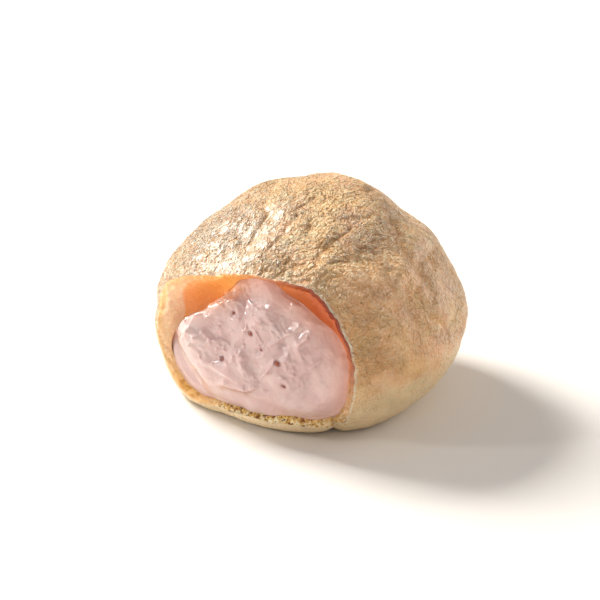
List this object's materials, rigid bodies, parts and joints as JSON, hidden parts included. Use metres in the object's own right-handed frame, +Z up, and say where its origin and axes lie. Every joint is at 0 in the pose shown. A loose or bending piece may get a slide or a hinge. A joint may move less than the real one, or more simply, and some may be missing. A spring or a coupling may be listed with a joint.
{
  "type": "cream puff",
  "caption": "Round baked choux bun with its front cut away, showing the pink cream that fills it.",
  "frame": {"origin": "centre of the flat base that the bun rests on", "axes": "+Z up, the opening faces -Y, +X to the right of someone who faces the opening"},
  "size_m": [0.087, 0.0774, 0.0621],
  "materials": {
    "crust": "dry crinkled choux pastry, golden tan on top and paler round the base, with a soft sheen",
    "cream": "moist pale pink whipped cream with a soft gloss, and brown strawberry seeds in it"
  },
  "bodies": {
    "root": {"crust": "crust", "cream": "cream"}
  },
  "joints": []
}
